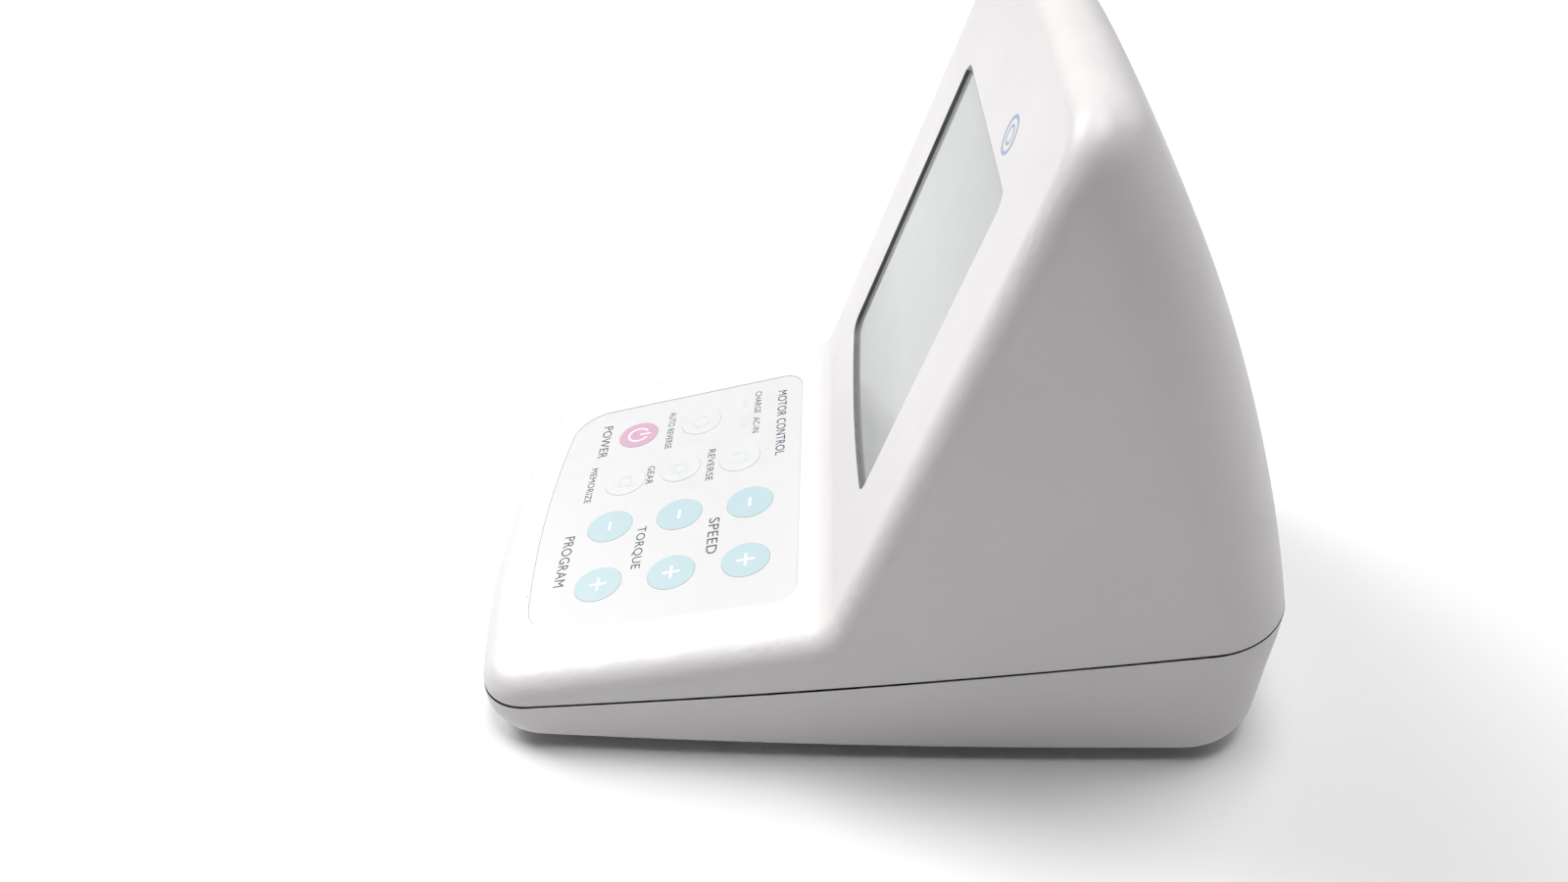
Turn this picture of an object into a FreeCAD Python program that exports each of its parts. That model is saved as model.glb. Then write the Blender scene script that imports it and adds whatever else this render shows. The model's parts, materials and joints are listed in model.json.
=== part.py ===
import FreeCAD
import Part
import math
import os

from FreeCAD import Vector

# Tabletop control unit of an endodontic motor, in millimetres.
# +X is the user's right, +Y points to the rear and +Z is up.  The origin is on the table, under the
# middle of the unit's outer box.  Every node is one STEP file in parts/.

# ---------------------------------------------------------------- driving dimensions
WALL = 2.5                     # moulded wall of both case halves
HALF_WIDTH = 52.5              # widest half of the case, reached near mid-depth
FRONT_Y = -78.4                # tip of the nose
SIDE_ARC = 1700.0              # the sides bow out on this radius
SIDE_MID_Y = 7.0               # where the sides are widest
NOSE_ARC = 254.0               # front edge in plan
NOSE_CORNER = 10.5
REAR_ARC = 620.0               # rear edge in plan
REAR_PROFILE = [(80.2, 22.0), (65.4, 70.0), (40.7, 120.0)]     # (y, z) points on the leaning rear wall
REAR_CORNERS = [(28.0, 16.5), (70.0, 20.5), (115.0, 16.5)]     # (height, radius) of the rear corners
LOW_CORNER, LOW_LEAN = 12.5, 0.10  # rear corners at the underside, and lean of the lower rear wall

DECK_ANGLE = 13.55             # keypad deck, degrees above the table
DECK_Y, DECK_Z = -39.22, 22.58  # middle row of keys on the deck surface
FACE_ANGLE = 70.86             # display face, degrees above the table
FACE_Y, FACE_Z = -8.22, 30.30  # foot of the display face
FACE_TOP = 104.4               # slope length of the display face
DECK_FACE_BLEND = 8.0          # hollow blend between deck and face
SKIN_ROUND = 5.0               # rounding round deck and face
ROOF_ROUND = 9.0               # rounding of the roof's sides and rear
ROOF_CROWN = 700.0             # roof is crowned across its width on this radius

PART_SLOPE = 0.137             # rise of the parting line per mm to the rear
PART_Z = 20.10                 # its height at mid-depth
SHADOW_GAP = 0.55              # visible groove between the case halves
SHADOW_DEPTH = 1.2
BOTTOM_Z = 2.9                 # underside of the lower case, above the table
BOTTOM_ROUND_REAR = 5.0
BOTTOM_ROUND_FRONT = 5.0
BOTTOM_ROUND_SIDE = 1.6

FILM_T = 0.5                   # keypad film
FILM_POCKET = 0.6              # depth of its pocket in the deck
FILM_GAP = 0.06
KEY_R = 4.97                   # round + and - keys
SOFT_KEY_R = 4.63              # power and function keys
KEY_GAP = 0.05                 # round each key, in the film
WELL_GAP = 0.35                # round each key, in the deck
SWITCH_SIZE, SWITCH_H = 6.2, 3.0
DOME_R = 2.0                   # snap dome under each key
PCB_T = 1.6
DECK_PCB_TOP = -6.4            # below the deck surface, along its normal
DISPLAY_PCB_TOP = -10.5        # behind the display face, along its normal
PCB_PILOT_R, PCB_HOLE_R, PCB_BOSS_R = 0.9, 1.1, 2.4

WINDOW_HALF = 30.2             # display window
WINDOW_LOW, WINDOW_LOW_MID, WINDOW_TOP = 17.8, 15.9, 81.4
WINDOW_CORNER = 3.0
WINDOW_SET = 0.8               # the window lies this far behind the face

MAIN_PCB_Z = 40.0
RIBBON_T = 0.3
CELL_R, CELL_L, CELL_PITCH = 7.1, 49.0, 14.8
CELL_FIRST_Y = 2.5             # middle of the front cells
STRAP_T = 0.25
COVER_X, COVER_Y0, COVER_Y1, COVER_T = 29.0, -9.0, 60.0, 1.6
COVER_SCREW_Y = 56.8
PANEL_Y = 66.0                 # flat of the rear socket pocket
POCKET_HALF, POCKET_LOW, POCKET_HIGH = 22.0, 37.5, 60.0
SOCKET_Z = 49.5
MOTOR_SOCKET_X, DC_JACK_X = -10.0, 12.0
SOCKET_R, SOCKET_BORE_R = 5.95, 4.5
SOCKET_FRONT_Y, SOCKET_STEP_Y = 70.5, 64.0
JACK_R, JACK_BORE_R, JACK_PIN_R = 4.1, 3.1, 1.0

KEYS = {
    "key_speed_plus": (25.0, 15.42, KEY_R),
    "key_speed_minus": (6.76, 15.42, KEY_R),
    "key_torque_plus": (25.0, 0.0, KEY_R),
    "key_torque_minus": (6.76, 0.0, KEY_R),
    "key_program_plus": (25.0, -15.42, KEY_R),
    "key_program_minus": (6.76, -15.42, KEY_R),
    "key_power": (-25.6, -12.9, SOFT_KEY_R),
    "key_memorize": (-8.2, -13.9, SOFT_KEY_R),
    "key_gear": (-9.6, -1.3, SOFT_KEY_R),
    "key_reverse": (-9.5, 12.3, SOFT_KEY_R),
    "key_auto_reverse": (-26.2, 2.2, SOFT_KEY_R),
}
LEDS = [(-30.2, 12.6), (-22.0, 12.6)]
DECK_SCREWS = [(x, v) for x in (-34.0, 34.0) for v in (-20.5, 20.0)]
DISPLAY_SCREWS = [(x, s) for x in (-39.0, 39.0) for s in (17.0, 89.0)]
CASE_SCREWS = [(x, y) for x in (-42.5, 42.5) for y in (-52.0, 38.0)]
CASE_BOSS_R, CASE_PILOT_R, CASE_SCREW_R = 3.8, 1.5, 1.45
FEET = [(x, y) for x in (-39.0, 39.0) for y in (-62.0, 52.0)]
FOOT_R, FOOT_SET = 6.0, 0.6     # feet stand in shallow recesses
POSTS = [(x, y) for x in (-34.0, 34.0) for y in (20.0, 57.0)]

os.makedirs("parts", exist_ok=True)
NODES = {}


# ---------------------------------------------------------------- small helpers
def save(name, shape):
    """Keep a node's shape and write its STEP file."""
    NODES[name] = shape
    shape.exportStep("parts/" + name + ".step")


def box(x0, x1, y0, y1, z0, z1):
    """Return the block between the given coordinates."""
    return Part.makeBox(x1 - x0, y1 - y0, z1 - z0, Vector(x0, y0, z0))


def rod(radius, start, end):
    """Return a round bar from start to end."""
    run = end - start
    return Part.makeCylinder(radius, run.Length, start, run)


def group(shapes):
    """Return separate solids as one compound."""
    return Part.makeCompound(list(shapes))


def upright(shape, angle, y, z):
    """Move a shape modelled in the XY plane onto a slope of the given angle through (y, z)."""
    moved = shape.copy()
    moved.rotate(Vector(0, 0, 0), Vector(1, 0, 0), angle)
    moved.translate(Vector(0, y, z))
    return moved


def on_deck(shape):
    """Place a shape drawn as (x, up the slope, height above the deck)."""
    return upright(shape, DECK_ANGLE, DECK_Y, DECK_Z)


def on_face(shape):
    """Place a shape drawn as (x, up the face, height above the face)."""
    return upright(shape, FACE_ANGLE, FACE_Y, FACE_Z)


def fillet_edges(shape, radius, wanted):
    """Round the edges that the test function accepts."""
    edges = [e for e in shape.Edges if wanted(e)]
    return shape.makeFillet(radius, edges)


def rounded_block(x0, x1, y0, y1, z0, z1, radius):
    """Return a block with its four upright edges rounded."""
    block = box(x0, x1, y0, y1, z0, z1)
    return fillet_edges(block, radius, lambda e: abs(e.tangentAt(e.FirstParameter).z) > 0.9)


def parting_z(y):
    """Return the height of the parting plane at depth y."""
    return PART_Z + PART_SLOPE * y


# ---------------------------------------------------------------- case outline
def circle_through(points):
    """Return centre and radius of the circle through three (y, z) points."""
    curve = Part.Arc(*[Vector(0, y, z) for y, z in points]).toShape().Curve
    return curve.Center, curve.Radius


REAR_CENTRE, REAR_RADIUS = circle_through(REAR_PROFILE)


def rear_y(z):
    """Return the depth of the leaning rear wall at height z."""
    return REAR_CENTRE.y + math.sqrt(REAR_RADIUS ** 2 - (z - REAR_CENTRE.z) ** 2)


REAR_BASE_Y = rear_y(parting_z(72.0))


def rear_corner(z):
    """Return the rear corner radius at height z, straight-line between the listed heights."""
    if z <= REAR_CORNERS[0][0]:
        return REAR_CORNERS[0][1]
    for (z0, r0), (z1, r1) in zip(REAR_CORNERS, REAR_CORNERS[1:]):
        if z <= z1:
            return r0 + (r1 - r0) * (z - z0) / (z1 - z0)
    return REAR_CORNERS[-1][1]


def blend(c1, r1, c2, r2, radius):
    """Return the arc of the given radius that lies inside two circles and touches both."""
    d = (c2 - c1).Length
    a, b = r1 - radius, r2 - radius
    along = (d * d + a * a - b * b) / (2 * d)
    across = math.sqrt(a * a - along * along)
    u = (c2 - c1).normalize()
    side = Vector(-u.y, u.x, 0)
    options = [c1 + u * along + side * across, c1 + u * along - side * across]
    centre = max(options, key=lambda p: p.x)
    start = c1 + (centre - c1).normalize() * r1
    end = c2 + (centre - c2).normalize() * r2
    middle = centre + ((start - centre) + (end - centre)).normalize() * radius
    return start, middle, end


def outline(z, rear, corner, nose_corner, side_in, front_in, rear_in):
    """Return the closed plan outline of the case at height z."""
    side_c, side_r = Vector(HALF_WIDTH - SIDE_ARC, SIDE_MID_Y, 0), SIDE_ARC - side_in
    nose_c, nose_r = Vector(0, FRONT_Y + NOSE_ARC, 0), NOSE_ARC - front_in
    rear_c, rear_r = Vector(0, rear - REAR_ARC, 0), REAR_ARC - rear_in
    f_side, f_mid, f_nose = blend(side_c, side_r, nose_c, nose_r, nose_corner)
    r_side, r_mid, r_rear = blend(side_c, side_r, rear_c, rear_r, corner)
    side_mid = Vector(side_c.x + side_r, SIDE_MID_Y, 0)
    rear_mid = Vector(0, rear - rear_in, 0)
    nose_mid = Vector(0, FRONT_Y + front_in, 0)

    def mirror(p):
        return Vector(-p.x, p.y, 0)

    runs = [
        (f_side, side_mid, r_side),
        (r_side, r_mid, r_rear),
        (r_rear, rear_mid, mirror(r_rear)),
        (mirror(r_rear), mirror(r_mid), mirror(r_side)),
        (mirror(r_side), mirror(side_mid), mirror(f_side)),
        (mirror(f_side), mirror(f_mid), mirror(f_nose)),
        (mirror(f_nose), nose_mid, f_nose),
        (f_nose, f_mid, f_side),
    ]
    up = Vector(0, 0, z)
    return Part.Wire([Part.Arc(a + up, b + up, c + up).toShape() for a, b, c in runs])


def upper_loft(inset):
    """Return the tall body with the leaning rear wall, drawn in by inset."""
    levels = [-4.0, 12.0, 28.0, 44.0, 60.0, 76.0, 92.0, 108.0, 124.0, 140.0]
    wires = []
    for z in levels:
        nose_corner = NOSE_CORNER + 0.2 * max(0.0, z - 60.0) - inset
        corner = rear_corner(z) - inset
        wires.append(outline(z, rear_y(z), corner, nose_corner, inset, inset, inset))
    return Part.makeLoft(wires, True, False)


def deck_face_cutter(inset):
    """Return everything above the deck and in front of the display face."""
    deck = math.radians(DECK_ANGLE)
    face = math.radians(FACE_ANGLE)
    deck_dir = Vector(0, math.cos(deck), math.sin(deck))
    face_dir = Vector(0, math.cos(face), math.sin(face))
    deck_p = Vector(0, DECK_Y, DECK_Z) + Vector(0, math.sin(deck), -math.cos(deck)) * inset
    face_p = Vector(0, FACE_Y, FACE_Z) + Vector(0, math.sin(face), -math.cos(face)) * inset
    cross = deck_dir.y * face_dir.z - deck_dir.z * face_dir.y
    gap = face_p - deck_p
    t = (gap.y * face_dir.z - gap.z * face_dir.y) / cross
    corner = deck_p + deck_dir * t
    radius = DECK_FACE_BLEND + inset
    turn = face - deck
    reach = radius * math.tan(turn / 2)
    a = corner - deck_dir * reach
    b = corner + face_dir * reach
    inward = Vector(0, -math.sin(deck), math.cos(deck))
    centre = a + inward * radius
    mid = centre + (corner - centre).normalize() * radius
    far_front = corner - deck_dir * 150.0
    far_top = corner + face_dir * 160.0
    corner_point = Vector(0, far_front.y, far_top.z)
    wire = Part.Wire([
        Part.makeLine(far_front, a),
        Part.Arc(a, mid, b).toShape(),
        Part.makeLine(b, far_top),
        Part.makeLine(far_top, corner_point),
        Part.makeLine(corner_point, far_front),
    ])
    face_shape = Part.Face(wire)
    face_shape.translate(Vector(-80, 0, 0))
    return face_shape.extrude(Vector(160, 0, 0))


def crown_body(inset):
    """Return a long bar whose top is the crowned roof."""
    top = FACE_Z + FACE_TOP * math.sin(math.radians(FACE_ANGLE)) - inset
    radius = ROOF_CROWN - inset
    drop = radius - math.sqrt(radius ** 2 - 70.0 ** 2)
    a, b = Vector(-70, -100, -10), Vector(70, -100, -10)
    c, d = Vector(70, -100, top - drop), Vector(-70, -100, top - drop)
    wire = Part.Wire([
        Part.makeLine(a, b),
        Part.makeLine(b, c),
        Part.Arc(c, Vector(0, -100, top), d).toShape(),
        Part.makeLine(d, a),
    ])
    return Part.Face(wire).extrude(Vector(0, 200, 0))


def tall_body(inset, roof_round, skin_round):
    """Return the whole body above the table, before it is split into two case halves."""
    roof_z = FACE_Z + FACE_TOP * math.sin(math.radians(FACE_ANGLE)) - inset
    body = upper_loft(inset).common(crown_body(inset))
    body = fillet_edges(body, roof_round, lambda e: e.BoundBox.ZMin > roof_z - 6.0)
    body = body.cut(deck_face_cutter(inset))
    if skin_round:
        deck_n = Vector(0, -math.sin(math.radians(DECK_ANGLE)), math.cos(math.radians(DECK_ANGLE)))
        face_n = Vector(0, -math.sin(math.radians(FACE_ANGLE)), math.cos(math.radians(FACE_ANGLE)))
        deck_p, face_p = Vector(0, DECK_Y, DECK_Z), Vector(0, FACE_Y, FACE_Z)

        def off_skin(p):
            return min(abs((p - deck_p).dot(deck_n)), abs((p - face_p).dot(face_n)))

        def skin_edge(e):
            span = e.LastParameter - e.FirstParameter
            points = [e.valueAt(e.FirstParameter + k * span) for k in (0.3, 0.5, 0.7)]
            flat = all(off_skin(p) < 0.01 for p in points)
            straight_across = abs(points[0].x + points[2].x) < 1.0 and abs(points[1].x) < 1.0
            top_or_nose = points[1].z > 100.0 or points[1].y < FRONT_Y + 5.0
            in_blend = all(FACE_Y - 8.0 < p.y < FACE_Y + 6.0 for p in points) and abs(points[1].x) > 45.0
            return (flat and (not straight_across or top_or_nose)) or in_blend

        body = fillet_edges(body, skin_round, skin_edge)
    return body


def below_parting(drop):
    """Return the space below the parting plane lowered by drop."""
    block = box(-90, 90, -140, 140, -120, 0)
    block.rotate(Vector(0, 0, 0), Vector(1, 0, 0), math.degrees(math.atan(PART_SLOPE)))
    block.translate(Vector(0, 0, PART_Z - drop))
    return block


def edge_inset(height, radius):
    """Return how far a rounded bottom edge draws in at a height above the underside."""
    if height >= radius:
        return 0.0
    return radius - math.sqrt(radius ** 2 - (radius - height) ** 2)


def lower_loft(inset, floor):
    """Return the tray-shaped body under the parting plane."""
    heights = [0.0, 0.12, 0.45, 1.0, 1.8, 3.2, 5.0, 8.0, 12.0, 18.0, 24.0, 31.0]
    wires = []
    for h in heights:
        lean = LOW_LEAN * max(0.0, 24.0 - h)
        corner = LOW_CORNER + (REAR_CORNERS[0][1] - LOW_CORNER) * min(h / 24.0, 1.0) - inset
        side_in = inset + edge_inset(h, BOTTOM_ROUND_SIDE)
        front_in = inset + edge_inset(h, BOTTOM_ROUND_FRONT)
        rear_in = inset + edge_inset(h, BOTTOM_ROUND_REAR) + lean
        nose_corner = NOSE_CORNER - min(side_in, 8.0)
        wires.append(outline(floor + h, REAR_BASE_Y, corner, nose_corner, side_in, front_in, rear_in))
    return Part.makeLoft(wires, True, False)


# ---------------------------------------------------------------- case halves
def window_prism(grow, low, high):
    """Return the display window outline, grown all round, between two heights over the face."""
    w = WINDOW_HALF + grow
    a, b = Vector(-w, WINDOW_LOW - grow, low), Vector(w, WINDOW_LOW - grow, low)
    c, d = Vector(w, WINDOW_TOP + grow, low), Vector(-w, WINDOW_TOP + grow, low)
    wire = Part.Wire([
        Part.Arc(a, Vector(0, WINDOW_LOW_MID - grow, low), b).toShape(),
        Part.makeLine(b, c),
        Part.makeLine(c, d),
        Part.makeLine(d, a),
    ])
    prism = Part.Face(wire).extrude(Vector(0, 0, high - low))
    return fillet_edges(prism, WINDOW_CORNER + grow, lambda e: abs(e.tangentAt(e.FirstParameter).z) > 0.9)


def film_prism(grow, low, high):
    """Return the keypad film outline, grown all round, between two heights over the deck."""
    front_x, rear_x = 37.0 + grow, 38.9 + grow
    front_v, front_mid, rear_v = -28.4 - grow, -31.1 - grow, 26.05 + grow
    a, b = Vector(-front_x, front_v, low), Vector(front_x, front_v, low)
    c, d = Vector(rear_x, rear_v, low), Vector(-rear_x, rear_v, low)
    wire = Part.Wire([
        Part.Arc(a, Vector(0, front_mid, low), b).toShape(),
        Part.makeLine(b, c),
        Part.makeLine(c, d),
        Part.makeLine(d, a),
    ])
    prism = Part.Face(wire).extrude(Vector(0, 0, high - low))
    upright_edges = [e for e in prism.Edges if abs(e.tangentAt(e.FirstParameter).z) > 0.9]
    front = [e for e in upright_edges if e.BoundBox.YMax < 0]
    rear = [e for e in upright_edges if e.BoundBox.YMin > 0]
    return prism.makeFillet(9.0 + grow, front).makeFillet(4.5 + grow, rear)


def deck_bar(x, v, radius, low, high):
    """Return a round bar square to the deck, between two heights over it."""
    return on_deck(rod(radius, Vector(x, v, low), Vector(x, v, high)))


def face_bar(x, s, radius, low, high):
    """Return a round bar square to the display face, between two heights over it."""
    return on_face(rod(radius, Vector(x, s, low), Vector(x, s, high)))


def make_upper_case(outer, inner):
    """Return the upper case with its pockets, wells, bosses and rear socket panel."""
    above = outer.cut(below_parting(0.0))
    bosses = [deck_bar(x, v, PCB_BOSS_R, DECK_PCB_TOP, -1.0) for x, v in DECK_SCREWS]
    bosses += [face_bar(x, s, PCB_BOSS_R, DISPLAY_PCB_TOP, -1.0) for x, s in DISPLAY_SCREWS]
    for x, y in CASE_SCREWS:
        top = 44.0 if y > 0 else 30.0
        bosses.append(rod(CASE_BOSS_R, Vector(x, y, parting_z(y) - 2.0), Vector(x, y, top)))
        if y > 0:
            ends = sorted((x, math.copysign(abs(x) + 9.0, x)))
            bosses.append(box(ends[0], ends[1], y - 1, y + 1, parting_z(y) + 0.5, top))
    pocket_block = box(-POCKET_HALF - WALL, POCKET_HALF + WALL, PANEL_Y - WALL, 90,
                       POCKET_LOW - WALL, POCKET_HIGH + WALL)
    solid = above.cut(inner)
    solid = solid.fuse([b.common(above) for b in bosses + [pocket_block]]).removeSplitter()
    tools = [rounded_block(-POCKET_HALF, POCKET_HALF, POCKET_LOW, POCKET_HIGH, 0, 30, 3.0)]
    tools[0].rotate(Vector(0, 0, 0), Vector(1, 0, 0), 90)
    tools[0].translate(Vector(0, PANEL_Y + 30.0, 0))
    tools.append(rear_bar(MOTOR_SOCKET_X, 0.0, SOCKET_R + 0.2, 60, 70))
    tools.append(rear_bar(DC_JACK_X, 0.0, JACK_R + 0.2, 60, 70))
    tools.append(on_deck(film_prism(FILM_GAP, -FILM_POCKET, 5.0)))
    tools += [deck_bar(x, v, r + WELL_GAP, -WALL - 1.0, 0.0) for x, v, r in KEYS.values()]
    tools += [deck_bar(x, v, 1.45, -WALL - 1.0, 0.0) for x, v in LEDS]
    tools.append(on_face(window_prism(0.0, -WALL - 1.0, 5.0)))
    tools += [deck_bar(x, v, PCB_PILOT_R, DECK_PCB_TOP - 1, -2.0) for x, v in DECK_SCREWS]
    tools += [face_bar(x, s, PCB_PILOT_R, DISPLAY_PCB_TOP - 1, -3.5) for x, s in DISPLAY_SCREWS]
    for x, y in CASE_SCREWS:
        depth = 14.0 if y > 0 else 3.6
        joint = parting_z(y)
        tools.append(rod(CASE_PILOT_R, Vector(x, y, joint - 4.0), Vector(x, y, joint + depth)))
    return solid.cut(tools)


def make_lower_case():
    """Return the lower case: tray, posts, screw columns, battery opening and shadow groove."""
    outer = lower_loft(0.0, BOTTOM_Z).common(below_parting(0.0))
    inner = lower_loft(WALL, BOTTOM_Z + WALL)
    tray = outer.cut(inner)
    posts = [rod(CASE_BOSS_R, Vector(x, y, BOTTOM_Z), Vector(x, y, 60)) for x, y in CASE_SCREWS]
    posts = [p.common(below_parting(0.0)) for p in posts]
    posts += [rod(3.0, Vector(x, y, BOTTOM_Z + 1), Vector(x, y, MAIN_PCB_Z)) for x, y in POSTS]
    posts += [box(x, x + 1.4, -6, 54, 4.6, 16) for x in (-26.8, 25.4)]
    tray = tray.fuse(posts)
    rim = outer.cut(lower_loft(SHADOW_DEPTH, BOTTOM_Z)).cut(below_parting(SHADOW_GAP))
    tools = [rim]
    tools.append(rounded_block(-COVER_X, COVER_X, COVER_Y0, COVER_Y1, 0, BOTTOM_Z + COVER_T, 2.0))
    tools.append(rounded_block(-25.0, 25.0, COVER_Y0 + 3, COVER_Y1 - 7, 0, BOTTOM_Z + WALL + 1, 2.0))
    for x, y in CASE_SCREWS:
        tools.append(rod(3.2, Vector(x, y, 0), Vector(x, y, parting_z(y) - 3.5)))
        tools.append(rod(1.7, Vector(x, y, 0), Vector(x, y, 60)))
    for x, y in POSTS:
        tools.append(rod(1.2, Vector(x, y, MAIN_PCB_Z - 8), Vector(x, y, MAIN_PCB_Z + 1)))
    recess = BOTTOM_Z + FOOT_SET
    tools += [rod(FOOT_R + 0.15, Vector(x, y, 0), Vector(x, y, recess)) for x, y in FEET]
    tools.append(rod(1.25, Vector(0, COVER_SCREW_Y, 0), Vector(0, COVER_SCREW_Y, 12)))
    return tray.cut(tools)


def make_battery_cover():
    """Return the battery cover that closes the opening in the underside."""
    plate = rounded_block(-COVER_X + 0.2, COVER_X - 0.2, COVER_Y0 + 0.2, COVER_Y1 - 0.2,
                          BOTTOM_Z, BOTTOM_Z + COVER_T, 1.8)
    grips = [box(-8, 8, y - 0.5, y + 0.5, 0, BOTTOM_Z + 0.5) for y in (2.0, 4.5, 7.0, 9.5)]
    hole = rod(1.7, Vector(0, COVER_SCREW_Y, 0), Vector(0, COVER_SCREW_Y, 12))
    seat = rod(2.4, Vector(0, COVER_SCREW_Y, 0), Vector(0, COVER_SCREW_Y, BOTTOM_Z + 0.9))
    return plate.cut(grips + [hole, seat])


def pan_screw(head_r, head_h, shank_r, length):
    """Return a screw along +Z: head below z = 0 with a cross recess, shank above."""
    head = rod(head_r, Vector(0, 0, -head_h), Vector(0, 0, 0))
    head = fillet_edges(head, head_h * 0.4, lambda e: e.BoundBox.ZMax < -head_h + 0.01)
    body = head.fuse(rod(shank_r, Vector(0, 0, -0.1), Vector(0, 0, length)))
    reach = head_r * 0.62
    depth = head_h * 0.55
    for across, along in ((0.4, reach), (reach, 0.4)):
        body = body.cut(box(-across, across, -along, along, -head_h - 1, -head_h + depth))
    return body


def placed(shape, position):
    """Return a copy of the shape moved to the position."""
    copy = shape.copy()
    copy.translate(position)
    return copy


# ---------------------------------------------------------------- keypad
def make_key(x, v, radius):
    """Return one key: printed cap, pad and the stem that pushes its switch."""
    cap = rod(radius, Vector(x, v, -0.55), Vector(x, v, -0.05))
    pad = rod(radius - 0.5, Vector(x, v, -1.5), Vector(x, v, -0.55))
    stem = rod(1.7, Vector(x, v, -4.0), Vector(x, v, -1.5))
    return on_deck(cap.fuse([pad, stem]).removeSplitter())


def make_switch(x, v):
    """Return one tact switch housing with the recess its snap dome lies in."""
    h = SWITCH_SIZE / 2
    top = DECK_PCB_TOP + SWITCH_H
    housing = rounded_block(x - h, x + h, v - h, v + h, DECK_PCB_TOP, top, 0.4)
    return on_deck(housing.cut(rod(DOME_R + 0.1, Vector(x, v, top - 1.2), Vector(x, v, top + 1))))


def make_keypad():
    """Write the film, keys, switches, board, lamps and screws under the deck."""
    film = film_prism(0.0, -FILM_POCKET, -FILM_POCKET + FILM_T)
    holes = [rod(r + KEY_GAP, Vector(x, v, -1), Vector(x, v, 1)) for x, v, r in KEYS.values()]
    save("keypad_film", on_deck(film.cut(holes)))
    for name, (x, v, radius) in KEYS.items():
        save(name, make_key(x, v, radius))
    spots = [(x, v) for x, v, _ in KEYS.values()]
    save("tact_switches", group(make_switch(x, v) for x, v in spots))
    dome_low = DECK_PCB_TOP + SWITCH_H - 1.2
    save("switch_domes", group(deck_bar(x, v, DOME_R, dome_low, dome_low + 0.15) for x, v in spots))
    board = rounded_block(-37.5, 37.5, -25.0, 25.0, DECK_PCB_TOP - PCB_T, DECK_PCB_TOP, 2.0)
    board = board.cut([rod(PCB_HOLE_R, Vector(x, v, -12), Vector(x, v, 0)) for x, v in DECK_SCREWS])
    save("keypad_board", on_deck(board))
    screw = pan_screw(1.9, 1.3, 0.85, 4.4)
    low = DECK_PCB_TOP - PCB_T
    screws = group(placed(screw, Vector(x, v, low)) for x, v in DECK_SCREWS)
    save("keypad_board_screws", on_deck(screws))
    lamps = []
    pipes = []
    for x, v in LEDS:
        lamps.append(on_deck(box(x - 1.6, x + 1.6, v - 0.8, v + 0.8, DECK_PCB_TOP, DECK_PCB_TOP + 0.8)))
        pipe = rod(1.35, Vector(x, v, -5.4), Vector(x, v, -FILM_POCKET))
        collar = rod(2.2, Vector(x, v, -WALL - 0.8), Vector(x, v, -WALL))
        pipes.append(on_deck(pipe.fuse(collar).removeSplitter()))
    save("indicator_lamps", group(lamps))
    save("light_pipes", group(pipes))


# ---------------------------------------------------------------- display
def frame_block(half, low_s, high_s, low, high, radius):
    """Return a rounded plate lying along the display face."""
    return rounded_block(-half, half, low_s, high_s, low, high, radius)


def make_display():
    """Write the window, gasket, bezel, glass, backlight, board and screws behind the face."""
    plug = window_prism(-0.15, -WALL, -WINDOW_SET)
    flange = frame_block(33.0, 12.6, 84.6, -WALL - 1.2, -WALL, 3.0)
    save("display_window", on_face(plug.fuse(flange).removeSplitter()))
    ring = frame_block(33.0, 12.6, 84.6, -4.7, -3.7, 3.0)
    save("window_gasket", on_face(ring.cut(window_prism(0.0, -6.0, 0.0))))
    bezel = frame_block(36.0, 10.0, 87.4, DISPLAY_PCB_TOP, -4.7, 2.0)
    bezel = bezel.cut([frame_block(34.0, 12.0, 85.4, -12.0, -5.6, 0.6), window_prism(0.0, -6.0, 0.0)])
    save("display_bezel", on_face(bezel))
    save("display_glass", on_face(frame_block(33.9, 12.1, 85.3, -8.0, -5.65, 0.5)))
    save("backlight", on_face(frame_block(33.9, 12.1, 85.3, DISPLAY_PCB_TOP + 0.05, -8.1, 0.5)))
    low = DISPLAY_PCB_TOP - PCB_T
    board = frame_block(42.0, 13.5, 92.5, low, DISPLAY_PCB_TOP, 2.0)
    board = board.cut([rod(PCB_HOLE_R, Vector(x, s, -14), Vector(x, s, 0)) for x, s in DISPLAY_SCREWS])
    save("display_board", on_face(board))
    screw = pan_screw(1.9, 1.3, 0.85, 7.0)
    screws = group(placed(screw, Vector(x, s, low)) for x, s in DISPLAY_SCREWS)
    save("display_board_screws", on_face(screws))


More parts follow.
